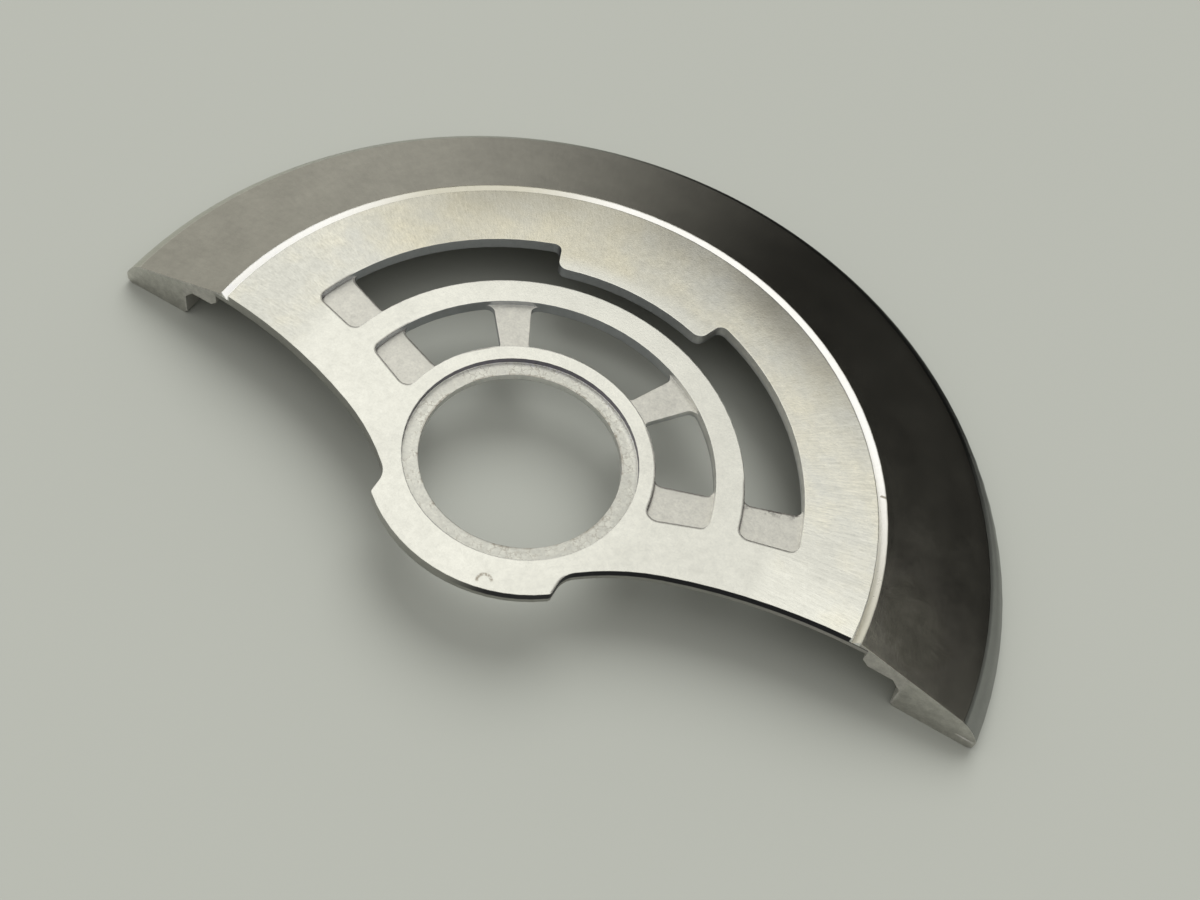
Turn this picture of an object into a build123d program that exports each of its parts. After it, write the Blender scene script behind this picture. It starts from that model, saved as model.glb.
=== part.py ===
"""Oscillating weight of a self-winding watch movement, in two pieces.

A thin carrier plate turns on a bearing that is pressed into its hub. Tracks
are milled into its top and pierced with windows, so that little mass is left
near the axis. A half ring of dense alloy laps over the flange at the plate's
rim, where a rolled groove spreads the lip of the plate against it.

All sizes are millimetres. The bore's axis is Z, the underside of the plate is
at zero, and +Y points to the middle of the heavy segment. Radii add up from
the bore outwards. Angles are measured from +Y, the same to both sides.
"""
import os
from math import cos, radians, sin, sqrt

from build123d import *

os.makedirs("parts", exist_ok=True)

# Carrier plate: sheet, bore and bearing seat
floor_thickness = 0.21
recess_depth = 0.18
bore_diameter = 5.7
seat_width = 0.46

# Carrier plate: rings and tracks, from the seat outwards
hub_ring_width = 0.46
inner_track_width = 1.69
middle_ring_width = 0.8
outer_track_width = 1.67
outer_land_width = 2.05

# Carrier plate: the land that stands into the outer track
land_reach = 0.95
land_half_angle = 20.3
land_corner_radius = 0.3
land_root_radius = 0.25

# Carrier plate: ends of the tracks and of their windows, and the spokes
inner_track_end_angle = 89.1
inner_track_shoulder_angle = 82.0
outer_track_end_angle = 80.9
outer_track_shoulder_angle = 79.5
track_corner_radius = 0.3
inner_window_end_angle = 69.8
outer_window_end_angle = 70.1
window_corner_radius = 0.25
spoke_angle = 32.2
spoke_spread = 12.2

# Carrier plate: hub lobe and the curved flanks that run from it to the rim
hub_land_width = 1.02
hub_corner_radius = 0.15
neck_half_width = 2.8
neck_height = 0.4
shoulder_radius = 0.65
shoulder_sweep = 49.1
flank_radius = 7.0
flank_sweep = 19.3
end_drop = 0.05

# Carrier plate: rolled groove, lip and flange at the rim
groove_sink = 0.06
groove_wall_run = 0.04
groove_slope_run = 0.21
flange_width = 0.25
flange_height = 0.19

# Heavy segment: lip, web and block
lip_thickness = 0.1
web_width = 0.92
web_drop = 0.5
web_edge_chamfer = 0.2
block_slope_run = 0.28
block_slope_height = 0.33
block_width = 2.32
block_edge_chamfer = 0.12

# Heavy segment: sloping top and outer edge
top_fall = 0.94
outer_bevel_width = 0.58
outer_bevel_height = 0.65
outer_bevel_crown = 0.08
outer_wall_height = 0.26

# Radii and levels that follow
bore_radius = bore_diameter / 2
seat_radius = bore_radius + seat_width
hub_ring_radius = seat_radius + hub_ring_width
inner_track_radius = hub_ring_radius + inner_track_width
middle_ring_radius = inner_track_radius + middle_ring_width
outer_track_radius = middle_ring_radius + outer_track_width
land_radius = outer_track_radius - land_reach
groove_radius = outer_track_radius + outer_land_width
groove_bottom_radius = groove_radius + groove_wall_run
lip_radius = groove_bottom_radius + groove_slope_run
flange_radius = lip_radius + flange_width
web_radius = flange_radius + web_width
block_radius = web_radius + block_slope_run
segment_radius = block_radius + block_width
plate_thickness = floor_thickness + recess_depth
top_plane = Plane.XY.offset(plate_thickness)


def on_circle(radius, angle):
    """Point at a radius, an angle away from +Y towards +X."""
    return (radius * sin(radians(angle)), radius * cos(radians(angle)))


def sector(inner, outer, start, end, corner_radius, start_outer=None, end_outer=None):
    """Band between two radii with rounded corners, as a sketch.

    start and end are the angles of its inner corners. The outer corners lie at
    the same angles unless their own are given.
    """
    first = start if start_outer is None else start_outer
    last = end if end_outer is None else end_outer
    with BuildSketch(mode=Mode.PRIVATE) as band:
        with BuildLine():
            inner_arc = ThreePointArc(
                on_circle(inner, start),
                on_circle(inner, (start + end) / 2),
                on_circle(inner, end),
            )
            outer_arc = ThreePointArc(
                on_circle(outer, first),
                on_circle(outer, (first + last) / 2),
                on_circle(outer, last),
            )
            Line(inner_arc @ 0, outer_arc @ 0)
            Line(inner_arc @ 1, outer_arc @ 1)
        make_face()
        if corner_radius:
            fillet(band.vertices(), radius=corner_radius)
    return band.sketch


# Carrier plate
hub_land_radius = seat_radius + hub_land_width
hub_corner = (neck_half_width, -sqrt(hub_land_radius**2 - neck_half_width**2))
rim_corner = (sqrt(flange_radius**2 - end_drop**2), -end_drop)

with BuildPart() as carrier_plate:
    with BuildSketch():
        with BuildLine():
            neck = PolarLine(hub_corner, neck_height, direction=(0, 1))
            shoulder = JernArc(neck @ 1, neck % 1, shoulder_radius, -shoulder_sweep)
            flank = JernArc(shoulder @ 1, shoulder % 1, flank_radius, -flank_sweep)
            TangentArc(flank @ 1, rim_corner, tangent=flank % 1)
            mirror(about=Plane.YZ)
            ThreePointArc(hub_corner, (0, -hub_land_radius), (-hub_corner[0], hub_corner[1]))
            ThreePointArc(rim_corner, (0, flange_radius), (-rim_corner[0], rim_corner[1]))
        make_face()
        for side in (1, -1):
            corner = (side * hub_corner[0], hub_corner[1])
            fillet(vertices().sort_by_distance(corner)[0], radius=hub_corner_radius)
    extrude(amount=plate_thickness)

    # Bearing seat and bore
    with Locations(top_plane):
        CounterBoreHole(bore_radius, seat_radius, recess_depth)

    # Milled tracks
    with BuildSketch(top_plane):
        add(
            sector(
                hub_ring_radius,
                inner_track_radius,
                -inner_track_end_angle,
                inner_track_end_angle,
                track_corner_radius,
                -inner_track_shoulder_angle,
                inner_track_shoulder_angle,
            )
        )
        for side in (1, -1):
            add(
                sector(
                    middle_ring_radius,
                    outer_track_radius,
                    side * land_half_angle,
                    side * outer_track_end_angle,
                    track_corner_radius,
                    side * land_half_angle,
                    side * outer_track_shoulder_angle,
                )
            )
    extrude(amount=-recess_depth, mode=Mode.SUBTRACT)

    # Windows: three in the inner track with spokes between them, one in the
    # outer track, narrow where the land stands into it
    near_edge = spoke_angle - spoke_spread / 2
    far_edge = spoke_angle + spoke_spread / 2
    with BuildSketch():
        for start, end in (
            (-inner_window_end_angle, -far_edge),
            (-near_edge, near_edge),
            (far_edge, inner_window_end_angle),
        ):
            add(sector(hub_ring_radius, inner_track_radius, start, end, window_corner_radius))
        add(
            sector(
                middle_ring_radius,
                outer_track_radius,
                -outer_window_end_angle,
                outer_window_end_angle,
                window_corner_radius,
            )
        )
        add(
            sector(land_radius, groove_radius, -land_half_angle, land_half_angle, 0),
            mode=Mode.SUBTRACT,
        )
        for side in (1, -1):
            edge = on_circle(land_radius, side * land_half_angle)
            root = on_circle(outer_track_radius, side * land_half_angle)
            fillet(vertices().sort_by_distance(edge)[0], radius=land_corner_radius)
            fillet(vertices().sort_by_distance(root)[0], radius=land_root_radius)
    extrude(amount=plate_thickness, mode=Mode.SUBTRACT)

    # Rolled groove, and the step that leaves the flange under the segment's lip
    with BuildSketch(Plane.XZ):
        with BuildLine():
            Polyline(
                (groove_radius, plate_thickness),
                (groove_bottom_radius, floor_thickness - groove_sink),
                (lip_radius, plate_thickness),
                close=True,
            )
        make_face()
    revolve(axis=Axis.Z, mode=Mode.SUBTRACT)
    with BuildSketch(Plane.XY.offset(flange_height)):
        Circle(flange_radius)
        Circle(lip_radius, mode=Mode.SUBTRACT)
    extrude(amount=plate_thickness, mode=Mode.SUBTRACT)

carrier_plate.part.label = "carrier_plate"
export_step(carrier_plate.part, "parts/carrier_plate.step")

# Heavy segment
top_inner_level = flange_height + lip_thickness
top_edge_radius = segment_radius - outer_bevel_width
top_edge_level = top_inner_level - top_fall
outer_wall_top = top_edge_level - outer_bevel_height
segment_bottom = outer_wall_top - outer_wall_height - block_edge_chamfer

with BuildPart() as heavy_segment:
    with BuildSketch(Plane.XZ):
        with BuildLine():
            Polyline(
                (lip_radius, flange_height),
                (lip_radius, top_inner_level),
                (top_edge_radius, top_edge_level),
            )
            SagittaArc(
                (top_edge_radius, top_edge_level),
                (segment_radius, outer_wall_top),
                outer_bevel_crown,
            )
            Polyline(
                (segment_radius, outer_wall_top),
                (segment_radius, segment_bottom + block_edge_chamfer),
                (segment_radius - block_edge_chamfer, segment_bottom),
                (block_radius + block_edge_chamfer, segment_bottom),
                (block_radius, segment_bottom + block_edge_chamfer),
                (block_radius, -web_drop - block_slope_height),
                (web_radius, -web_drop),
                (flange_radius + web_edge_chamfer, -web_drop),
                (flange_radius, web_edge_chamfer - web_drop),
                (flange_radius, flange_height),
                (lip_radius, flange_height),
            )
        make_face()
    revolve(axis=Axis.Z)
    split(bisect_by=Plane.XZ.offset(end_drop), keep=Keep.BOTTOM)

heavy_segment.part.label = "heavy_segment"
export_step(heavy_segment.part, "parts/heavy_segment.step")
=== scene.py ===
"""Looks of the oscillating weight of a self-winding watch movement.

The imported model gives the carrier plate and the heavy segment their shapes. This
script gives them their finishes, lays the weight on a plain pale floor under soft
studio light, and sets the camera. Sizes are millimetres in the model's own frame:
the bore's axis is Z, the plate's underside is at zero and +Y points to the middle
of the heavy segment.
"""
from __future__ import annotations

import logging
import math
from collections.abc import Mapping
from dataclasses import dataclass
from enum import Enum, IntEnum
from typing import Any

import bmesh
import bpy
from mathutils import Matrix, Vector

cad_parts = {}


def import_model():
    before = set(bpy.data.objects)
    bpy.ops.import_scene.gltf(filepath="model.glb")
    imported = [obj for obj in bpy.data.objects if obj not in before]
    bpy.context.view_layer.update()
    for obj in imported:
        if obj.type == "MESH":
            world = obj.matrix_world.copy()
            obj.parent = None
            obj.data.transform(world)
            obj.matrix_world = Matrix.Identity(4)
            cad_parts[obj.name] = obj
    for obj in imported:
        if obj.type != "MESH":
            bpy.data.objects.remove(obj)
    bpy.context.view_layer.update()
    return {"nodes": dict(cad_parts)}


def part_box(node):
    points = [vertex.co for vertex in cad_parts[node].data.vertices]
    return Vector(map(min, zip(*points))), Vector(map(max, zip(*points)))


log = logging.getLogger("watch_rotor")

MM = 0.001

Colour = tuple[float, float, float]
Span = tuple[float, float]
Socket = bpy.types.NodeSocket

# Noise nodes give values around this one
NOISE_MEAN = 0.5

# Rays that a Bevel node sends to look for edges
EDGE_SAMPLES = 6

RIGHT_ANGLE = 90.0

# How far a face leans: 0 where it is upright, 1 where it faces up, -1 where it faces down
SLOPING: Span = (0.3, 0.5)

# Radii over which the plate's rings give way to its outer land
OUTER_LAND: Span = (6.9, 7.7)

# Radii over which the segment's sloping top turns into its outer bevel
OUTER_BEVEL: Span = (13.38, 13.46)

# Old dirt in marks and cracks, and metal that a roller has burnished
CRUST: Colour = (0.36, 0.33, 0.27)
BURNISHED: Colour = (1.0, 0.995, 0.95)


class Node(Enum):
    """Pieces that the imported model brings."""

    CARRIER_PLATE = "carrier_plate"
    HEAVY_SEGMENT = "heavy_segment"


class MixSocket(IntEnum):
    """Places of a Mix node's colour sockets, whose names its other sockets share."""

    SHARE = 0
    FIRST = 6
    SECOND = 7
    RESULT = 2


def opaque(colour: Colour) -> tuple[float, float, float, float]:
    """Return a colour with full alpha, as colour sockets take it."""
    return (*colour, 1.0)


def bearing(turn: float, lift: float) -> Vector:
    """Return a direction from the weight.

    Args:
        turn: Degrees from +Y towards +X.
        lift: Degrees above the floor.

    Returns:
        The direction, one long.
    """
    across = math.cos(math.radians(lift))
    return Vector(
        (
            math.sin(math.radians(turn)) * across,
            math.cos(math.radians(turn)) * across,
            math.sin(math.radians(lift)),
        )
    )


class Number:
    """A number socket of a shader that answers to Python's operators.

    Args:
        graph: The graph that the socket's node belongs to.
        socket: The output socket.
    """

    def __init__(self, graph: Graph, socket: Socket) -> None:
        """Keep the graph and the socket."""
        self.graph = graph
        self.socket = socket

    def __add__(self, other: Number | float) -> Number:
        """Add."""
        return self.graph.math("ADD", self, other)

    __radd__ = __add__

    def __sub__(self, other: Number | float) -> Number:
        """Subtract."""
        return self.graph.math("SUBTRACT", self, other)

    def __rsub__(self, other: Number | float) -> Number:
        """Subtract from a plain number."""
        return self.graph.math("SUBTRACT", other, self)

    def __mul__(self, other: Number | float) -> Number:
        """Multiply."""
        return self.graph.math("MULTIPLY", self, other)

    __rmul__ = __mul__

    def __truediv__(self, other: Number | float) -> Number:
        """Divide."""
        return self.graph.math("DIVIDE", self, other)

    def __rtruediv__(self, other: Number | float) -> Number:
        """Divide a plain number by this one."""
        return self.graph.math("DIVIDE", other, self)

    def root(self) -> Number:
        """Return the square root."""
        return self.graph.math("SQRT", self)

    def size(self) -> Number:
        """Return the value without its sign."""
        return self.graph.math("ABSOLUTE", self)

    def rises(self, span: Span) -> Number:
        """Return a smooth mask of this number.

        Args:
            span: The value up to which the mask is 0, and the one from which it is 1.

        Returns:
            The mask.
        """
        made = self.graph.node(
            "ShaderNodeMapRange",
            {"interpolation_type": "SMOOTHSTEP"},
            {"Value": self, "From Min": span[0], "From Max": span[1]},
        )
        return Number(self.graph, made.outputs["Result"])

    def falls(self, span: Span) -> Number:
        """Return the opposite mask, 1 before the span and 0 past it."""
        return 1.0 - self.rises(span)


class Graph:
    """The nodes of one material or of the world.

    Args:
        tree: The node tree, which is emptied.
    """

    def __init__(self, tree: bpy.types.NodeTree) -> None:
        """Empty the tree and keep it."""
        self.tree = tree
        tree.nodes.clear()

    def node(
        self,
        kind: str,
        settings: Mapping[str, Any] | None = None,
        inputs: Mapping[str | int, Any] | None = None,
    ) -> bpy.types.Node:
        """Add a node.

        Args:
            kind: Blender's name of the node's type.
            settings: Properties of the node, set first.
            inputs: Values, sockets or numbers for its inputs, by name or place.

        Returns:
            The new node.
        """
        made = self.tree.nodes.new(kind)
        for name, value in (settings or {}).items():
            setattr(made, name, value)
        for name, value in (inputs or {}).items():
            source = value.socket if isinstance(value, Number) else value
            if isinstance(source, bpy.types.NodeSocket):
                self.tree.links.new(source, made.inputs[name])
            else:
                made.inputs[name].default_value = source
        return made

    def math(self, operation: str, first: Number | float, second: Number | float = 0.0) -> Number:
        """Return the result of a Math node on one or two numbers."""
        made = self.node("ShaderNodeMath", {"operation": operation}, {0: first, 1: second})
        return Number(self, made.outputs[0])

    def mix(
        self,
        share: Number | float,
        first: Socket | Colour,
        second: Socket | Colour,
        blend: str = "MIX",
    ) -> Socket:
        """Mix two colours.

        Args:
            share: How much of the second colour shows.
            first: The colour at a share of 0.
            second: The colour at a share of 1.
            blend: Blender's name of the way to mix.

        Returns:
            The colour socket of the result.
        """
        sides = [opaque(side) if isinstance(side, tuple) else side for side in (first, second)]
        made = self.node(
            "ShaderNodeMix",
            {"data_type": "RGBA", "blend_type": blend},
            {MixSocket.SHARE: share, MixSocket.FIRST: sides[0], MixSocket.SECOND: sides[1]},
        )
        return made.outputs[MixSocket.RESULT]

    def shade(self, colour: Socket | Colour, tone: Number) -> Socket:
        """Return a colour made lighter or darker by a number around 1."""
        return self.mix(1.0, colour, self.vector(tone, tone, tone), "MULTIPLY")

    def noise(self, where: Socket, scale: float, layer: Grain | Rays) -> Number:
        """Return smooth noise around zero.

        Args:
            where: The vector socket that it is read at.
            scale: Features for each unit of the vector.
            layer: Gives the finer layers that are added.

        Returns:
            The noise as a number.
        """
        made = self.node(
            "ShaderNodeTexNoise",
            None,
            {"Vector": where, "Scale": scale, "Detail": layer.detail, "Roughness": layer.roughness},
        )
        return Number(self, made.outputs[0]) - NOISE_MEAN

    def vector(self, x: Number | float, y: Number | float, z: Number | float) -> Socket:
        """Return the vector socket of three numbers."""
        return self.node("ShaderNodeCombineXYZ", None, {0: x, 1: y, 2: z}).outputs[0]

    def parts(self, vector: Socket) -> tuple[Number, Number, Number]:
        """Return a vector's three numbers."""
        made = self.node("ShaderNodeSeparateXYZ", None, {0: vector})
        return tuple(Number(self, output) for output in made.outputs)

    def dot(self, first: Socket, second: Socket | Vector) -> Number:
        """Return the dot product of two directions."""
        made = self.node("ShaderNodeVectorMath", {"operation": "DOT_PRODUCT"}, {0: first, 1: second})
        return Number(self, made.outputs["Value"])

    def bump(self, height: Number, depth: float, normal: Socket) -> Socket:
        """Return the normal of a surface with fine relief.

        Args:
            height: The relief, in steps of the depth.
            depth: How high one step is, in millimetres.
            normal: The normal that the relief is laid on.

        Returns:
            The normal's socket.
        """
        made = self.node(
            "ShaderNodeBump", None, {"Height": height, "Distance": depth * MM, "Normal": normal}
        )
        return made.outputs[0]

    def show(self, shader: bpy.types.Node, output: str = "ShaderNodeOutputMaterial") -> None:
        """Lead a shader to the graph's output."""
        self.node(output, None, {"Surface": shader.outputs[0]})

    def principled(self, inputs: Mapping[str, Any]) -> None:
        """End the graph in one Principled shader with these inputs."""
        self.show(self.node("ShaderNodeBsdfPrincipled", None, inputs))


@dataclass(frozen=True)
class Grain:
    """One layer of noise.

    Attributes:
        scale: Features for each millimetre.
        detail: How many finer layers are added.
        roughness: How strong the finer layers are.
    """

    scale: float
    detail: float = 3.0
    roughness: float = 0.6


@dataclass(frozen=True)
class Rays:
    """Noise drawn out into strokes that run away from the bore.

    Attributes:
        lines: Strokes for each radian round the bore.
        along: Strokes for each millimetre away from it.
        detail: How many finer layers are added.
        roughness: How strong the finer layers are.
    """

    lines: float
    along: float
    detail: float = 3.0
    roughness: float = 0.6


@dataclass(frozen=True)
class Cracks:
    """Borders between lumps of a crackled skin.

    Attributes:
        scale: Lumps for each millimetre.
        bends: Bends of the borders for each millimetre.
        stray: How far the borders stray, in millimetres.
    """

    scale: float = 4.5
    bends: float = 9.0
    stray: float = 0.25


@dataclass(frozen=True)
class Patch:
    """A soft-edged patch of the weight, bounded by the spans that are given.

    A span gives the place where an edge starts to change and the place where the
    change is complete.

    Attributes:
        right_of: Span along X that it starts in.
        left_of: Span along X that it ends in.
        behind: Span along Y that it starts in.
        before: Span along Y that it ends in.
        above: Span along Z that it starts in.
        outside: Span of radii round the bore that it starts in.
        inside: Span of radii round the bore that it ends in.
        strength: Value of the mask where it is full.
    """

    right_of: Span | None = None
    left_of: Span | None = None
    behind: Span | None = None
    before: Span | None = None
    above: Span | None = None
    outside: Span | None = None
    inside: Span | None = None
    strength: float = 1.0


class Place:
    """Where a point of the weight lies, read from its own coordinates.

    Args:
        graph: The graph that reads it.
    """

    def __init__(self, graph: Graph) -> None:
        """Make the nodes that give position, radius and lean."""
        self.graph = graph
        read = graph.node("ShaderNodeTexCoord")
        scaled = graph.node(
            "ShaderNodeVectorMath",
            {"operation": "SCALE"},
            {0: read.outputs["Object"], "Scale": 1.0 / MM},
        )
        self.point = scaled.outputs[0]
        self.x, self.y, self.z = graph.parts(self.point)
        self.radius = (self.x * self.x + self.y * self.y).root()
        _, _, self.up = graph.parts(read.outputs["Normal"])

    def patch(self, patch: Patch) -> Number:
        """Return the mask of a patch.

        Args:
            patch: The patch's bounds and strength.

        Returns:
            The mask, from zero to the patch's strength.
        """
        fading_in = (
            (self.x, patch.right_of),
            (self.y, patch.behind),
            (self.z, patch.above),
            (self.radius, patch.outside),
        )
        fading_out = (
            (self.x, patch.left_of),
            (self.y, patch.before),
            (self.radius, patch.inside),
        )
        masks = [value.rises(span) for value, span in fading_in if span]
        masks += [value.falls(span) for value, span in fading_out if span]
        return math.prod(masks, start=patch.strength)

    def grain(self, layer: Grain) -> Number:
        """Return a layer of noise, around zero."""
        return self.graph.noise(self.point, layer.scale, layer)

    def rays(self, layer: Rays) -> Number:
        """Return a layer of strokes away from the bore.

        Args:
            layer: How dense and how long the strokes are.

        Returns:
            The strokes, around zero.
        """
        across = layer.lines / self.radius
        where = self.graph.vector(self.x * across, self.y * across, self.radius * layer.along)
        return self.graph.noise(where, 1.0, layer)

    def away(self, x: float, y: float) -> Number:
        """Return the distance from an upright line, in millimetres."""
        east, north = self.x - x, self.y - y
        return (east * east + north * north).root()

    def ahead(self, turn: float, x: float = 0.0, y: float = 0.0) -> Number:
        """Return the distance past an upright plane, in millimetres.

        Args:
            turn: The way the plane faces, in degrees from +Y towards +X.
            x: Where the plane stands along X.
            y: Where the plane stands along Y.

        Returns:
            The distance, negative behind the plane.
        """
        way = bearing(turn, 0.0)
        return (self.x - x) * way.x + (self.y - y) * way.y

    def cracks(self, layer: Cracks) -> Number:
        """Return the distance to the nearest border between lumps.

        Args:
            layer: The lumps' sizes.

        Returns:
            The distance, in lumps.
        """
        drift = self.graph.node(
            "ShaderNodeTexNoise", None, {"Vector": self.point, "Scale": layer.bends}
        )
        bent = self.graph.node(
            "ShaderNodeVectorMath",
            {"operation": "MULTIPLY_ADD"},
            {0: drift.outputs["Color"], 1: (layer.stray, layer.stray, layer.stray), 2: self.point},
        )
        made = self.graph.node(
            "ShaderNodeTexVoronoi",
            {"feature": "DISTANCE_TO_EDGE"},
            {"Vector": bent.outputs[0], "Scale": layer.scale},
        )
        return Number(self.graph, made.outputs["Distance"])

    def rounded(self, radius: float) -> Socket:
        """Return the normal with edges rounded off to a radius in millimetres."""
        made = self.graph.node("ShaderNodeBevel", {"samples": EDGE_SAMPLES}, {"Radius": radius * MM})
        return made.outputs[0]

    def edge(self, rounded: Socket) -> Number:
        """Return how far a rounded normal leans away from the face, 0 where it is flat."""
        face = self.graph.node("ShaderNodeNewGeometry").outputs["Normal"]
        return 1.0 - self.graph.dot(face, rounded)


@dataclass(frozen=True)
class Noise:
    """The noise that a finish is drawn with: strokes, and grain from fine to coarse."""

    strokes: Rays
    grit: Grain
    flecks: Grain
    mottle: Grain


@dataclass(frozen=True)
class Speckle:
    """How strongly each layer of noise shows."""

    strokes: float = 0.0
    grit: float = 0.0
    flecks: float = 0.0
    mottle: float = 0.0


class Surface(Place):
    """A place on a finish, with each layer of the finish's noise there, around zero.

    Args:
        graph: The graph that reads it.
        noise: The finish's layers of noise.
    """

    def __init__(self, graph: Graph, noise: Noise) -> None:
        """Make the nodes that give the noise."""
        super().__init__(graph)
        self.strokes = self.rays(noise.strokes)
        self.grit = self.grain(noise.grit)
        self.flecks = self.grain(noise.flecks)
        self.mottle = self.grain(noise.mottle)

    def speckle(self, shares: Speckle) -> Number:
        """Return the layers added up.

        Args:
            shares: How strongly each layer shows.

        Returns:
            The sum, around zero.
        """
        pairs = (
            (self.strokes, shares.strokes),
            (self.grit, shares.grit),
            (self.flecks, shares.flecks),
            (self.mottle, shares.mottle),
        )
        return sum(layer * share for layer, share in pairs if share)


def new_material(name: str) -> tuple[bpy.types.Material, Graph]:
    """Make a material.

    Args:
        name: The material's name.

    Returns:
        The material and its empty graph.
    """
    material = bpy.data.materials.new(name)
    material.use_nodes = True
    return material, Graph(material.node_tree)


class PlateSurface(Surface):
    """A place on the carrier plate, with masks for its kinds of surface.

    Args:
        graph: The graph that reads it.
        noise: The finish's layers of noise.

    Attributes:
        top_edge: Levels over which the top comes in.
        seat: Radii over which the ledge of the bearing seat ends.
        groove_wall: Radii over which the rolled groove starts.
        facing_up: Leans over which a face counts as flat.
        facing_down: Leans past which a face no longer belongs to the underside.
        not_upright: Leans over which the groove's steep wall comes in.
    """

    top_edge: Span = (0.38, 0.385)
    seat: Span = (3.31, 3.32)
    groove_wall: Span = (9.965, 9.975)
    facing_up: Span = (0.5, 0.7)
    facing_down: Span = (-0.7, -0.5)
    not_upright: Span = (0.02, 0.04)

    def __init__(self, graph: Graph, noise: Noise) -> None:
        """Make the masks."""
        super().__init__(graph, noise)
        flat = self.up.rises(self.facing_up)
        self.top = self.z.rises(self.top_edge) * flat
        past_wall = self.radius.rises(self.groove_wall)
        self.groove = past_wall * self.up.rises(self.not_upright) * (1.0 - self.top)
        self.slope = self.groove * self.up.rises(SLOPING)
        self.trench = self.groove * (1.0 - self.slope)
        self.floor = flat * (1.0 - self.top) * (1.0 - self.groove)
        self.ledge = self.floor * self.radius.falls(self.seat)
        self.wall = self.up.size().falls(SLOPING) * (1.0 - self.groove)
        self.underside = self.up.falls(self.facing_down)
        self.outer_land = self.radius.rises(OUTER_LAND)


@dataclass(frozen=True)
class ToolMark:
    """A small dotted arc that a tool left on the hub."""

    centre: tuple[float, float] = (1.14, -3.93)
    radius: float = 0.19
    half_width: Span = (0.015, 0.065)
    turn: float = -31.0
    ends: Span = (-0.06, 0.04)
    gaps: Span = (-0.2, 0.1)

    def mask(self, plate: PlateSurface) -> Number:
        """Return the mark's mask.

        Args:
            plate: The place on the plate.

        Returns:
            The mask, 1 on the mark's dots.
        """
        arc = (plate.away(*self.centre) - self.radius).size().falls(self.half_width)
        upper = plate.ahead(self.turn, *self.centre).rises(self.ends)
        return arc * upper * plate.grit.rises(self.gaps)


@dataclass(frozen=True)
class Nick:
    """A short dark nick across the rolled groove."""

    centre: tuple[float, float] = (9.13, 4.5)
    turn: float = 113.0
    half_width: Span = (0.01, 0.04)
    half_length: Span = (0.09, 0.12)

    def mask(self, plate: PlateSurface) -> Number:
        """Return the nick's mask.

        Args:
            plate: The place on the plate.

        Returns:
            The mask, 1 in the nick.
        """
        across = plate.ahead(self.turn + RIGHT_ANGLE, *self.centre).size().falls(self.half_width)
        along = plate.ahead(self.turn, *self.centre).size().falls(self.half_length)
        return across * along


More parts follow.
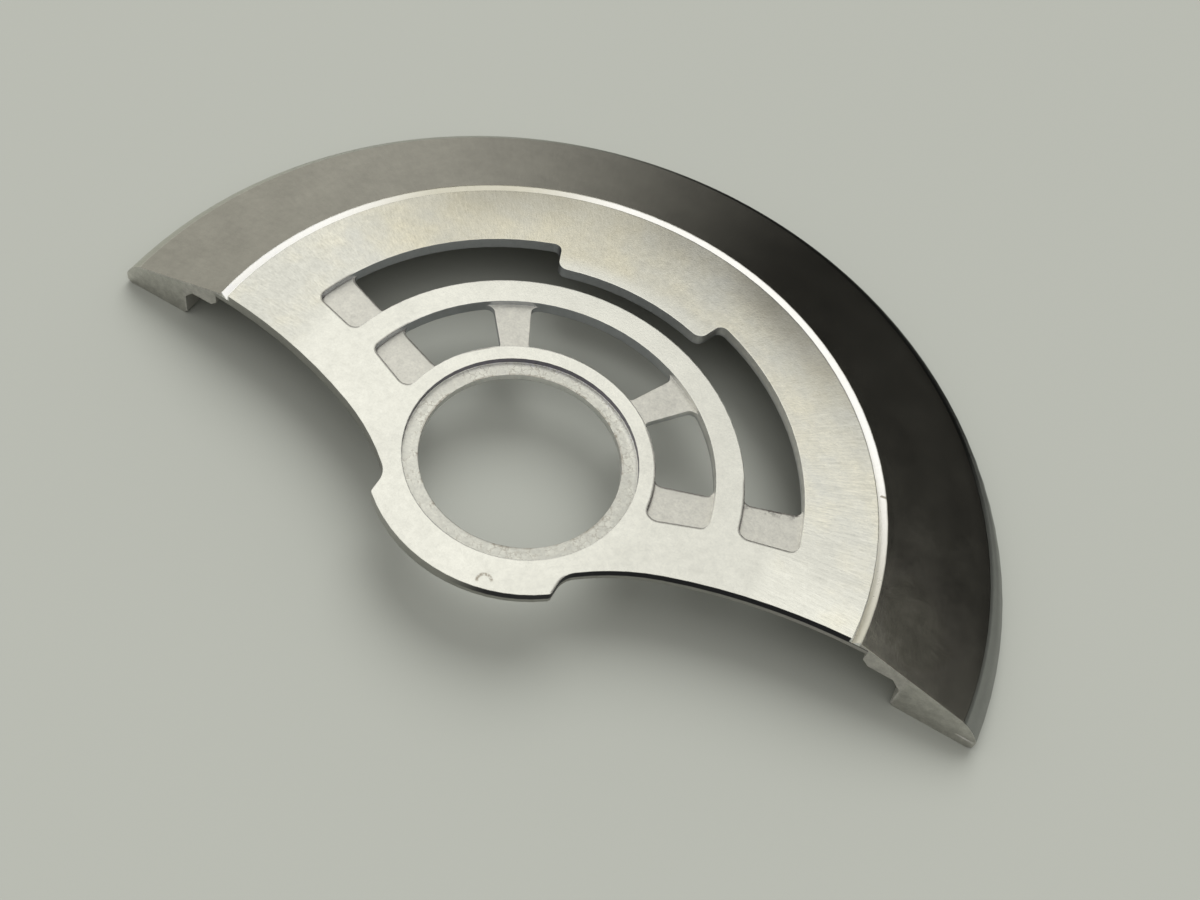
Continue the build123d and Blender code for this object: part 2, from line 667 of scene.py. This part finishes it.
@dataclass(frozen=True)
class RayedTop:
    """The plate's top: bright rings, and a worn outer land with strokes, patches of painted
    reflection and shade, and tarnish along the groove that is partly a painted dark reflection.
    """

    bright: Colour = (0.81, 0.81, 0.73)
    worn: Colour = (0.725, 0.725, 0.652)
    warm: Colour = (0.75, 0.712, 0.555)
    dark_film_and_reflection: Colour = (0.33, 0.32, 0.27)
    roughness: float = 0.2

    # Strokes, which fade where the mottle is low
    line_depth: float = 0.28
    deeper_lines: Patch = Patch(left_of=(-9.0, -3.0), strength=0.3)
    ring_lines: float = 0.1
    land_lines: Patch = Patch(outside=OUTER_LAND, strength=0.9)
    line_fill: float = 0.9
    line_gaps: float = 2.0
    long_strokes: Rays = Rays(lines=150.0, along=1.2)
    combed: Patch = Patch(right_of=(4.0, 8.0), outside=OUTER_LAND, strength=0.4)

    # Tone: speckle, and patches painted lighter or darker where the top's reflection is lighter or
    # darker, which is painted reflection and shade
    speckle: Speckle = Speckle(grit=0.18, flecks=0.26, mottle=0.2)
    far_side: Patch = Patch(right_of=(-3.0, 2.0), behind=(2.0, 6.0), outside=OUTER_LAND)
    far_flecks: float = 0.26
    painted_sheen: Patch = Patch(right_of=(4.0, 8.0), before=(0.2, 1.6), outside=OUTER_LAND, strength=0.12)
    inner_right: Patch = Patch(right_of=(0.5, 4.5), inside=OUTER_LAND, strength=-0.11)
    dusk: Patch = Patch(
        right_of=(-9.5, -8.0),
        left_of=(-6.0, -3.5),
        behind=(3.5, 5.5),
        outside=OUTER_LAND,
        strength=-0.1,
    )
    left_end: Patch = Patch(
        left_of=(-9.0, -6.5), before=(2.0, 5.0), outside=OUTER_LAND, strength=-0.05
    )

    # Warm hue of the outer land
    warmth: float = 0.05
    warmer: Patch = Patch(behind=(1.5, 5.5), strength=0.25)
    golden: Patch = Patch(
        right_of=(-10.0, -6.5),
        left_of=(-2.0, 2.0),
        behind=(3.0, 5.0),
        outside=OUTER_LAND,
        strength=0.35,
    )
    warm_mottle: Speckle = Speckle(mottle=1.4)

    # Tarnish along the groove, also painted darker as the reflection of a dark thing behind
    film_and_reflection: Patch = Patch(right_of=(-9.0, -5.5), behind=(4.5, 8.0), outside=(8.2, 10.0))
    film_and_reflection_share: float = 0.4
    film_and_reflection_speckle: Speckle = Speckle(flecks=0.4, mottle=0.7)
    stronger_film_and_reflection: Patch = Patch(right_of=(1.2, 3.6), left_of=(4.0, 7.0), strength=0.45)
    weaker_film_and_reflection: Patch = Patch(right_of=(-4.0, -2.5), left_of=(-1.5, 0.0), strength=-0.22)

    mark: ToolMark = ToolMark()

    def tone(self, plate: PlateSurface) -> Number:
        """Return how light the top is.

        Args:
            plate: The place on the plate.

        Returns:
            The tone, around 1.
        """
        depth = self.line_depth + plate.patch(self.deeper_lines)
        spread = self.ring_lines + plate.patch(self.land_lines)
        lines = plate.strokes * spread * (self.line_fill + self.line_gaps * plate.mottle)
        return (
            1.0
            + depth * lines
            + plate.patch(self.far_side) * self.far_flecks * plate.flecks
            + plate.speckle(self.speckle)
            + plate.patch(self.combed) * plate.rays(self.long_strokes)
            # Painted reflection and shade: the next four patches are painted lighter or darker
            + plate.patch(self.painted_sheen)
            + plate.patch(self.inner_right)
            + plate.patch(self.dusk)
            + plate.patch(self.left_end)
        )

    def colour(self, plate: PlateSurface) -> Socket:
        """Return the colour of the top.

        Args:
            plate: The place on the plate.

        Returns:
            The colour's socket.
        """
        graph = plate.graph
        warmth = (
            self.warmth
            + plate.patch(self.warmer)
            + plate.patch(self.golden)
            + plate.speckle(self.warm_mottle)
        )
        # Tarnish along the groove, partly a painted dark reflection
        film_and_reflection = plate.patch(self.film_and_reflection) * (
            self.film_and_reflection_share
            + plate.speckle(self.film_and_reflection_speckle)
            + plate.patch(self.stronger_film_and_reflection)
            + plate.patch(self.weaker_film_and_reflection)
        )
        land = graph.mix(film_and_reflection, graph.mix(warmth, self.worn, self.warm), self.dark_film_and_reflection)
        plain = graph.shade(graph.mix(plate.outer_land, self.bright, land), self.tone(plate))
        return graph.mix(self.mark.mask(plate), plain, CRUST)


@dataclass(frozen=True)
class MilledFloor:
    """Matt floors of the tracks, and the crackled ledge of the bearing seat."""

    milled: Colour = (0.75, 0.742, 0.672)
    ledge: Colour = (0.7, 0.7, 0.63)
    roughness: float = 0.5
    ledge_roughness: float = 0.45
    speckle: Speckle = Speckle(grit=0.4, flecks=0.4, mottle=0.2)
    ledge_speckle: Speckle = Speckle(flecks=0.3)
    far_edge_light: Patch = Patch(behind=(0.0, 2.5), outside=(3.0, 3.3), strength=0.34)
    light_turn: float = -45.0
    lit_side: Span = (-2.5, 1.5)
    lit_tone: float = 0.13
    cracks: Cracks = Cracks()
    crack_width: Span = (0.0, 0.1)
    crack_share: float = 0.5
    dirty_edge: Patch = Patch(inside=(2.87, 2.93), strength=0.55)
    dirt_gaps: Span = (-0.1, 0.1)

    def colour(self, plate: PlateSurface) -> Socket:
        """Return the colour of the floors and the ledge.

        Args:
            plate: The place on the plate.

        Returns:
            The colour's socket.
        """
        graph = plate.graph
        # Painted light: the ledge is painted lighter on its far edge and towards the light's side
        lit = plate.ahead(self.light_turn).rises(self.lit_side) * self.lit_tone
        on_ledge = plate.speckle(self.ledge_speckle) + plate.patch(self.far_edge_light) + lit
        tone = 1.0 + plate.speckle(self.speckle) + plate.ledge * on_ledge
        matt = graph.shade(graph.mix(plate.ledge, self.milled, self.ledge), tone)
        dirty = (plate.flecks + plate.mottle).rises(self.dirt_gaps) * plate.ledge
        veins = plate.cracks(self.cracks).falls(self.crack_width) * self.crack_share
        return graph.mix(dirty * (veins + plate.patch(self.dirty_edge)), matt, CRUST)


@dataclass(frozen=True)
class CutWall:
    """Cut walls: plain in the windows, with painted light on the right-hand walls and the bore's wall
    and painted shade on the seat's wall; torn along the outline, with a burnished band painted black
    as a dark reflection.
    """

    slate: Colour = (0.45, 0.462, 0.485)
    painted_light_wall: Colour = (0.85, 0.84, 0.8)
    seat: Colour = (0.12, 0.115, 0.14)
    torn: Colour = (0.42, 0.415, 0.385)
    pale_torn: Colour = (0.46, 0.445, 0.42)
    reflected_black: Colour = (0.03, 0.03, 0.035)
    speckle: Speckle = Speckle(grit=0.2, flecks=0.3)
    roughness: float = 0.32
    right_side: Patch = Patch(right_of=(1.0, 4.0))
    right_roughness: float = 0.2
    upper: Patch = Patch(above=(-0.1, 0.2))
    bore: Patch = Patch(inside=(2.87, 2.91))
    bore_painted_light: float = 0.8
    shaded_seat_wall: Patch = Patch(above=(0.2, 0.21), inside=(3.33, 3.36))
    outline: Patch = Patch(before=(-0.05, -0.03), outside=(3.4, 3.5))
    right_end: Patch = Patch(right_of=(6.5, 8.5))
    darkened: Patch = Patch(right_of=(0.0, 1.4), above=(0.12, 0.17))
    lip_end: Patch = Patch(above=(0.17, 0.2), outside=(9.93, 9.97))

    def colour(self, plate: PlateSurface) -> Socket:
        """Return the colour of the cut walls.

        Args:
            plate: The place on the plate.

        Returns:
            The colour's socket.
        """
        graph = plate.graph
        bore = plate.patch(self.bore)
        # Painted light: the right-hand walls and the bore's wall are painted pale
        lit_open_side = plate.wall * plate.patch(self.right_side) * plate.patch(self.upper)
        painted_light_share = lit_open_side * (1.0 - bore) + self.bore_painted_light * bore
        window = graph.mix(painted_light_share, self.slate, self.painted_light_wall)
        # Painted shade: the bearing seat's wall is painted near black
        window = graph.mix(plate.patch(self.shaded_seat_wall), window, self.seat)
        cut = graph.mix(plate.patch(self.right_end), self.torn, self.pale_torn)
        # Painted reflection: the burnished upper band of the outline's right side is painted black
        cut = graph.mix(plate.patch(self.darkened), cut, self.reflected_black)
        cut = graph.mix(plate.patch(self.lip_end), cut, BURNISHED)
        plain = graph.mix(plate.patch(self.outline), window, cut)
        return graph.shade(plain, 1.0 + plate.speckle(self.speckle))


@dataclass(frozen=True)
class RolledGroove:
    """The groove that was rolled at the rim: burnished, darker along a stretch at the left, dull at
    the right.
    """

    darkened: Colour = (0.66, 0.64, 0.53)
    dull: Colour = (0.49, 0.475, 0.395)
    speckle: Speckle = Speckle(grit=0.12, flecks=0.2)
    roughness: float = 0.3
    darker_stretch: Patch = Patch(right_of=(-9.5, -7.0), left_of=(-5.5, -1.5))
    dull_end: Patch = Patch(right_of=(0.0, 1.0), before=(0.3, 6.0))
    oxidised_end: Patch = Patch(right_of=(0.0, 1.0), before=(0.5, 4.5), strength=0.5)
    bottom: float = 10.02
    slope_lean: float = 0.5
    slope_crown: float = 0.6
    nick: Nick = Nick()

    def colour(self, plate: PlateSurface) -> Socket:
        """Return the colour of the groove.

        Args:
            plate: The place on the plate.

        Returns:
            The colour's socket.
        """
        graph = plate.graph
        bright = graph.mix(plate.patch(self.darker_stretch), BURNISHED, self.darkened)
        dullness = plate.patch(self.dull_end) * (1.0 - plate.trench)
        plain = graph.shade(
            graph.mix(dullness, bright, self.dull), 1.0 + plate.speckle(self.speckle)
        )
        return graph.mix(self.nick.mask(plate), plain, CRUST)

    def crown(self, plate: PlateSurface) -> Number:
        """Return a height that rounds the slope in its shading, in millimetres."""
        up_slope = (plate.radius - self.bottom) * plate.slope
        return up_slope * up_slope * -self.slope_crown - up_slope * self.slope_lean


@dataclass(frozen=True)
class TrackEndShadeAndBurr:
    """Dark lines painted in the corners of the tracks' ends as shade and dark reflection at their
    burred edges, and burr smudges at the windows' ends.
    """

    colour: Colour = (0.09, 0.08, 0.075)
    track_ends: Patch = Patch(before=(2.6, 2.9), outside=(3.5, 3.6), inside=(8.2, 8.3))
    line_width: float = 0.1
    line_turn: float = 30.0
    facing: Span = (0.0, 0.1)
    lean: Span = (0.0, 0.008)
    line_share: float = 0.85
    window_end: float = 70.0
    shore_start: Span = (-0.1, 0.0)
    shore_end: Span = (0.02, 0.32)
    burr: Speckle = Speckle(grit=0.5, flecks=1.0)
    burr_gaps: Span = (-0.04, 0.12)
    smudge_share: float = 0.15
    outer_smudge: Patch = Patch(right_of=(5.0, 6.0), strength=0.45)

    def share(self, plate: PlateSurface) -> Number:
        """Return how much of the soot shows.

        Args:
            plate: The place on the plate.

        Returns:
            The share, from 0 to 1.
        """
        rolled = plate.rounded(self.line_width)
        facing = plate.graph.dot(rolled, bearing(self.line_turn, 0.0)).rises(self.facing)
        line = plate.edge(rolled).rises(self.lean) * facing * plate.patch(self.track_ends)
        end = math.radians(self.window_end)
        past_window = plate.x.size() * math.cos(end) - plate.y * math.sin(end)
        shore = past_window.rises(self.shore_start) * past_window.falls(self.shore_end) * plate.floor
        burr = plate.speckle(self.burr).rises(self.burr_gaps)
        smudge = shore * burr * (self.smudge_share + plate.patch(self.outer_smudge))
        # The line is painted shade and dark reflection; the smudges are burr
        return smudge + line * self.line_share


@dataclass(frozen=True)
class BrushedPlating:
    """Silver-white plating of the carrier plate, worn differently on each kind of surface."""

    name: str = "plated_brass"
    top: RayedTop = RayedTop()
    floor: MilledFloor = MilledFloor()
    wall: CutWall = CutWall()
    groove: RolledGroove = RolledGroove()
    shade_and_burr: TrackEndShadeAndBurr = TrackEndShadeAndBurr()
    under: Colour = (0.5, 0.49, 0.45)
    under_speckle: Speckle = Speckle(grit=0.35, flecks=0.3, mottle=0.25)
    noise: Noise = Noise(
        strokes=Rays(lines=135.0, along=5.0, detail=4.0, roughness=0.65),
        grit=Grain(16.0),
        flecks=Grain(4.5),
        mottle=Grain(0.9),
    )
    gloss_speckle: Speckle = Speckle(flecks=0.16)
    edge_radius: float = 0.045
    relief_depth: float = 0.0038
    grit_relief: float = 0.4
    floor_relief: float = 0.8
    far_wear: float = 0.7

    def colour(self, plate: PlateSurface) -> Socket:
        """Return the colour of the whole plate.

        Args:
            plate: The place on the plate.

        Returns:
            The colour's socket.
        """
        graph = plate.graph
        colour = graph.mix(plate.floor, self.top.colour(plate), self.floor.colour(plate))
        colour = graph.mix(self.shade_and_burr.share(plate), colour, self.shade_and_burr.colour)
        colour = graph.mix(plate.groove, colour, self.groove.colour(plate))
        colour = graph.mix(plate.wall, colour, self.wall.colour(plate))
        under = graph.shade(self.under, 1.0 + plate.speckle(self.under_speckle))
        return graph.mix(plate.underside, colour, under)

    def roughness(self, plate: PlateSurface) -> Number:
        """Return how matt the plate is.

        Args:
            plate: The place on the plate.

        Returns:
            The roughness.
        """
        wall = self.wall.roughness + plate.patch(self.wall.right_side) * self.wall.right_roughness
        return (
            self.top.roughness
            + plate.floor * (self.floor.roughness - self.top.roughness)
            + plate.ledge * (self.floor.ledge_roughness - self.floor.roughness)
            + plate.groove * (self.groove.roughness - self.top.roughness)
            + plate.wall * (wall - self.top.roughness)
            + plate.speckle(self.gloss_speckle)
        )

    def relief(self, plate: PlateSurface) -> Number:
        """Return the fine relief of strokes and grit.

        Args:
            plate: The place on the plate.

        Returns:
            The relief, around zero.
        """
        wear = 1.0 - self.far_wear * plate.patch(self.top.far_side)
        combed = plate.strokes * plate.outer_land * plate.top * wear
        return combed + plate.grit * (self.grit_relief + self.floor_relief * plate.floor)

    def material(self) -> bpy.types.Material:
        """Build the finish.

        Returns:
            The material.
        """
        material, graph = new_material(self.name)
        plate = PlateSurface(graph, self.noise)
        crowned = graph.bump(self.groove.crown(plate), 1.0, plate.rounded(self.edge_radius))
        graph.principled(
            {
                "Base Color": self.colour(plate),
                "Metallic": 1.0 - plate.groove * plate.patch(self.groove.oxidised_end),
                "Roughness": self.roughness(plate),
                "Normal": graph.bump(self.relief(plate), self.relief_depth, crowned),
            }
        )
        return material


@dataclass(frozen=True)
class SatinAlloy:
    """Dark satin of sintered tungsten alloy, with faint rays and rough cut ends."""

    name: str = "heavy_alloy"
    body: Colour = (0.268, 0.26, 0.218)
    bevel: Colour = (0.4, 0.395, 0.345)
    cool_bevel: Colour = (0.262, 0.266, 0.256)
    rough: Colour = (0.58, 0.57, 0.53)
    noise: Noise = Noise(
        strokes=Rays(lines=120.0, along=1.2),
        grit=Grain(18.0),
        flecks=Grain(4.0),
        mottle=Grain(0.8),
    )

    # Cut end faces, inner faces as pressed, and the outer bevel
    cut_side: Patch = Patch(before=(-0.045, -0.035))
    hollow: Patch = Patch(inside=(11.72, 11.76))
    outer_bevel: Patch = Patch(outside=OUTER_BEVEL)
    right_half: Patch = Patch(right_of=(-4.0, 4.0))

    # Tone, with painted light at the right end and by the rim, a painted highlight on the left bevel
    # and a painted dark reflection on the right bevel's inner edge
    speckle: Speckle = Speckle(strokes=0.14, grit=0.2, flecks=0.22, mottle=0.34)
    light_speckle: Speckle = Speckle(flecks=1.6, mottle=1.2)
    right_end: Patch = Patch(
        right_of=(5.0, 12.0), before=(0.0, 9.0), inside=(10.5, 13.3), strength=0.4
    )
    lit: Patch = Patch(right_of=(3.0, 8.0), behind=(-0.5, 3.0), inside=(13.0, 13.4), strength=0.3)
    left_bevel_highlight: Patch = Patch(left_of=(-13.5, -9.0), outside=OUTER_BEVEL, strength=0.35)
    brink_dark_reflection: Patch = Patch(
        right_of=(-4.0, 4.0), outside=(13.37, 13.4), inside=(13.48, 13.53), strength=0.5
    )
    cut_speckle: Speckle = Speckle(grit=0.4, flecks=0.7)

    # Gloss and relief
    roughness: float = 0.24
    cut_roughness: float = 0.45
    hollow_roughness: float = 0.54
    gloss_speckle: Speckle = Speckle(grit=0.06, mottle=0.06)
    edge_radius: float = 0.04
    relief_depth: float = 0.0022
    relief_speckle: Speckle = Speckle(strokes=0.6, grit=1.0)
    cut_relief: Speckle = Speckle(flecks=8.0)

    # The outer bevel's crown, most of which the finish takes away at the right
    bevel_radius: float = 13.42
    bevel_run: float = 0.58
    bevel_crown: float = 0.08
    flattened: Patch = Patch(
        right_of=(-4.0, 4.0), above=(-1.4, -1.3), outside=OUTER_BEVEL, strength=0.85
    )

    def tone(self, segment: Surface) -> Number:
        """Return how light the segment is.

        Args:
            segment: The place on the segment.

        Returns:
            The tone, around 1.
        """
        # Painted light on the right end and by the rim
        light = segment.patch(self.right_end) + segment.patch(self.lit)
        tone = (
            1.0
            + segment.speckle(self.speckle)
            + light * (1.0 + segment.speckle(self.light_speckle))
            # Painted highlight on the left end of the outer bevel
            + segment.patch(self.left_bevel_highlight)
        )
        # Painted dark reflection along the inner edge of the outer bevel on the right
        return tone * (1.0 - segment.patch(self.brink_dark_reflection))

    def dent(self, segment: Surface) -> Number:
        """Return the height that flattens the bevel's crown.

        Args:
            segment: The place on the segment.

        Returns:
            The height in millimetres, which is below zero on the flattened patch.
        """
        across = (segment.radius - self.bevel_radius) / self.bevel_run
        # Zero at both edges of the bevel and one below zero halfway
        arch = 4.0 * across * (across - 1.0)
        return arch * self.bevel_crown * segment.patch(self.flattened)

    def material(self) -> bpy.types.Material:
        """Build the finish.

        Returns:
            The material.
        """
        material, graph = new_material(self.name)
        segment = Surface(graph, self.noise)
        cut = segment.patch(self.cut_side) * segment.up.size().falls(SLOPING)
        hollow = segment.patch(self.hollow) * segment.up.falls(SLOPING)

        bevel = graph.mix(segment.patch(self.right_half), self.bevel, self.cool_bevel)
        skin = graph.mix(segment.patch(self.outer_bevel), self.body, bevel)
        skin = graph.shade(graph.mix(hollow, skin, self.rough), self.tone(segment))
        sawn = graph.shade(self.rough, 1.0 + segment.speckle(self.cut_speckle))
        roughness = (
            self.roughness
            + cut * (self.cut_roughness - self.roughness)
            + hollow * (self.hollow_roughness - self.roughness)
            + segment.speckle(self.gloss_speckle)
        )
        relief = segment.speckle(self.relief_speckle) + cut * segment.speckle(self.cut_relief)
        flattened = graph.bump(self.dent(segment), 1.0, segment.rounded(self.edge_radius))
        graph.principled(
            {
                "Base Color": graph.mix(cut, skin, sawn),
                "Metallic": 1.0,
                "Roughness": roughness,
                "Normal": graph.bump(relief, self.relief_depth, flattened),
            }
        )
        return material


@dataclass(frozen=True)
class PaleFloor:
    """Plain pale matt floor."""

    name: str = "pale_floor"
    colour: Colour = (0.357, 0.368, 0.333)
    roughness: float = 0.9
    gloss: float = 0.1

    def material(self) -> bpy.types.Material:
        """Build the finish.

        Returns:
            The material.
        """
        material, graph = new_material(self.name)
        graph.principled(
            {
                "Base Color": opaque(self.colour),
                "Roughness": self.roughness,
                "Specular IOR Level": self.gloss,
            }
        )
        return material


def dress(node: bpy.types.Object, material: bpy.types.Material) -> bpy.types.Object:
    """Give a node one material.

    Args:
        node: The node's object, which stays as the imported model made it.
        material: Its finish.

    Returns:
        The node's object.
    """
    node.data.materials.clear()
    node.data.materials.append(material)
    return node


def add_object(name: str, data: bpy.types.ID) -> bpy.types.Object:
    """Add an object to the scene.

    Args:
        name: The object's name.
        data: Its mesh, light or camera.

    Returns:
        The object.
    """
    made = bpy.data.objects.new(name, data)
    bpy.context.scene.collection.objects.link(made)
    return made


@dataclass
class CarrierPlate:
    """The thin pierced plate with the bore, its seat and the milled tracks."""

    finish: BrushedPlating = BrushedPlating()

    def build(self, nodes: Mapping[str, bpy.types.Object]) -> bpy.types.Object:
        """Dress the plate."""
        return dress(nodes[Node.CARRIER_PLATE.value], self.finish.material())


@dataclass
class HeavySegment:
    """The half ring of dense alloy that laps over the plate's rim."""

    finish: SatinAlloy = SatinAlloy()

    def build(self, nodes: Mapping[str, bpy.types.Object]) -> bpy.types.Object:
        """Dress the segment."""
        return dress(nodes[Node.HEAVY_SEGMENT.value], self.finish.material())


@dataclass
class Floor:
    """The plain floor that the weight lies on."""

    level: float = -1.68
    half_width: float = 1500.0
    finish: PaleFloor = PaleFloor()

    def build(self) -> bpy.types.Object:
        """Lay the floor.

        Returns:
            The floor's object.
        """
        mesh = bpy.data.meshes.new("floor")
        shape = bmesh.new()
        bmesh.ops.create_grid(
            shape,
            x_segments=1,
            y_segments=1,
            size=self.half_width * MM,
            matrix=Matrix.Translation((0.0, 0.0, self.level * MM)),
        )
        shape.to_mesh(mesh)
        shape.free()
        mesh.materials.append(self.finish.material())
        made = add_object("floor", mesh)
        return made


@dataclass
class DarkCard:
    """A dark card that stands and lies behind the weight, seen only in its reflections: the standing
    part is a dark thing behind, the lying part a dark sheet laid on the floor as painted shade.

    Attributes:
        start: Where the card starts, in degrees from +Y towards +X.
        end: Where it ends.
        start_soft: Degrees to each side over which its start fades.
        end_soft: Degrees to each side over which its end fades.
        top: How high it reaches, in degrees above the floor.
        top_soft: Degrees to each side over which its top fades.
        margin: Clear card past each edge, in degrees.
        near: Radius of its near edge.
        near_hard: How far the near edge fades in front of the weight.
        near_soft: How much farther it fades beside the weight.
        lee: Degrees from which the near edge gets softer.
        far: Radius at which the card turns up.
        level: Level of the part that lies.
        darkness: How dark it is.
        steps: Flats that its round is made of.
    """

    start: float = -18.5
    end: float = 64.0
    start_soft: float = 20.5
    end_soft: float = 14.0
    top: float = 45.5
    top_soft: float = 4.0
    margin: float = 21.0
    near: float = 14.4
    near_hard: float = 0.4
    near_soft: float = 3.0
    lee: float = 40.0
    far: float = 150.0
    level: float = -1.6
    darkness: float = 0.97
    steps: int = 24

    def material(self) -> bpy.types.Material:
        """Build the card's shading: black inside, clear at its edges.

        Returns:
            The material.
        """
        material, graph = new_material("dark_card")
        place = Place(graph)
        turn = graph.math("ARCTAN2", place.x, place.y) * math.degrees(1.0)
        lift = graph.math("ARCTAN2", place.z, place.radius) * math.degrees(1.0)
        reach = self.near_hard + turn.rises((self.lee, self.end + self.end_soft)) * self.near_soft
        inside = (
            turn.rises((self.start - self.start_soft, self.start + self.start_soft))
            * turn.falls((self.end - self.end_soft, self.end + self.end_soft))
            * lift.falls((self.top - self.top_soft, self.top + self.top_soft))
            * ((place.radius - self.near) / reach).rises((0.0, 1.0))
        )
        clear = graph.node("ShaderNodeBsdfTransparent")
        reflected_black = graph.node("ShaderNodeEmission", None, {"Strength": 0.0})
        mixed = graph.node(
            "ShaderNodeMixShader",
            None,
            {0: inside * self.darkness, 1: clear.outputs[0], 2: reflected_black.outputs[0]},
        )
        graph.show(mixed)
        return material

    def shape(self) -> bpy.types.Mesh:
        """Spin the card's profile round the weight.

        Returns:
            The card's mesh.
        """
        way = bearing(self.start - self.margin, 0.0)
        rise = Vector((0.0, 0.0, 1.0))
        height = self.far * math.tan(math.radians(self.top + self.margin))
        profile = (
            way * self.near + rise * self.level,
            way * self.far + rise * self.level,
            way * self.far + rise * height,
        )
        shape = bmesh.new()
        corners = [shape.verts.new(corner * MM) for corner in profile]
        sides = [shape.edges.new(pair) for pair in zip(corners, corners[1:])]
        bmesh.ops.spin(
            shape,
            geom=[*corners, *sides],
            cent=(0.0, 0.0, 0.0),
            axis=(0.0, 0.0, -1.0),
            angle=math.radians(self.end - self.start + 2.0 * self.margin),
            steps=self.steps,
            use_merge=False,
        )
        mesh = bpy.data.meshes.new("dark_card")
        shape.to_mesh(mesh)
        shape.free()
        return mesh

    def build(self) -> bpy.types.Object:
        """Stand the card up.

        Returns:
            The card's object.
        """
        mesh = self.shape()
        mesh.materials.append(self.material())
        made = add_object("dark_card", mesh)
        made.visible_camera = False
        made.visible_diffuse = False
        made.visible_shadow = False
        return made


@dataclass
class Studio:
    """Plain soft light all round, fuller from behind and above.

    Attributes:
        colour: The light's colour.
        low: Its strength away from the full side.
        high: Its strength on the full side.
        turn: Where the full side's middle lies, in degrees from +Y towards +X.
        lift: How high that middle lies, in degrees.
        full_angle: Degrees from the middle up to which the light is full.
        fade_angle: Degrees from the middle at which it is low.
    """

    colour: Colour = (1.0, 0.99, 0.97)
    low: float = 0.32
    high: float = 1.04
    turn: float = -20.0
    lift: float = 55.0
    full_angle: float = 35.0
    fade_angle: float = 110.0

    def build(self) -> None:
        """Light the world."""
        world = bpy.data.worlds.new("studio")
        world.use_nodes = True
        bpy.context.scene.world = world
        graph = Graph(world.node_tree)
        read = graph.node("ShaderNodeTexCoord")
        lined = graph.dot(read.outputs["Generated"], bearing(self.turn, self.lift))
        fade = (math.cos(math.radians(self.fade_angle)), math.cos(math.radians(self.full_angle)))
        share = lined.rises(fade)
        light = graph.node(
            "ShaderNodeBackground",
            None,
            {"Color": opaque(self.colour), "Strength": self.low + share * (self.high - self.low)},
        )
        graph.show(light, "ShaderNodeOutputWorld")
        bpy.context.scene.view_settings.view_transform = "Standard"


@dataclass
class Key:
    """A wide soft lamp from behind that deepens the shadow on the floor.

    Metals show it as light on the floor alone, never as a bright spot of their own.
    """

    turn: float = -20.0
    lift: float = 50.0
    width: float = 45.0
    level: float = 0.5

    def build(self) -> bpy.types.Object:
        """Hang the lamp.

        Returns:
            The lamp's object.
        """
        data = bpy.data.lights.new("key", "SUN")
        data.angle = math.radians(self.width)
        data.energy = self.level * math.pi / math.sin(math.radians(self.lift))
        made = add_object("key", data)
        made.rotation_euler = bearing(self.turn, self.lift).to_track_quat("Z", "Y").to_euler()
        made.visible_glossy = False
        return made


@dataclass
class Eye:
    """The camera at the photograph's viewing angle."""

    position: tuple[float, float, float] = (7.36, -20.153, 32.87)
    turns: tuple[float, float, float] = (36.4296, -4.3318, 31.2932)
    lens: float = 42.0
    sensor: float = 36.0
    shift: tuple[float, float] = (0.1174, -0.0713)
    nearest: float = 1.0
    farthest: float = 10000.0

    def build(self) -> bpy.types.Object:
        """Set up the camera.

        Returns:
            The camera's object.
        """
        data = bpy.data.cameras.new("camera")
        data.sensor_width = self.sensor
        data.lens = self.lens
        data.shift_x, data.shift_y = self.shift
        data.clip_start = self.nearest * MM
        data.clip_end = self.farthest * MM
        made = add_object("camera", data)
        made.location = Vector(self.position) * MM
        made.rotation_euler = [math.radians(turn) for turn in self.turns]
        bpy.context.scene.camera = made
        return made


def main() -> None:
    """Dress the weight and set the scene."""
    logging.basicConfig(level=logging.INFO, format="%(name)s: %(message)s")
    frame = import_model()
    Eye().build()
    Studio().build()
    Key().build()
    Floor().build()
    DarkCard().build()
    for assembly in (CarrierPlate(), HeavySegment()):
        piece = assembly.build(frame["nodes"])
        low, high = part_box(piece.name)
        log.info("%s dressed, %s to %s", piece.name, tuple(low / MM), tuple(high / MM))


if __name__ == "__main__":
    main()
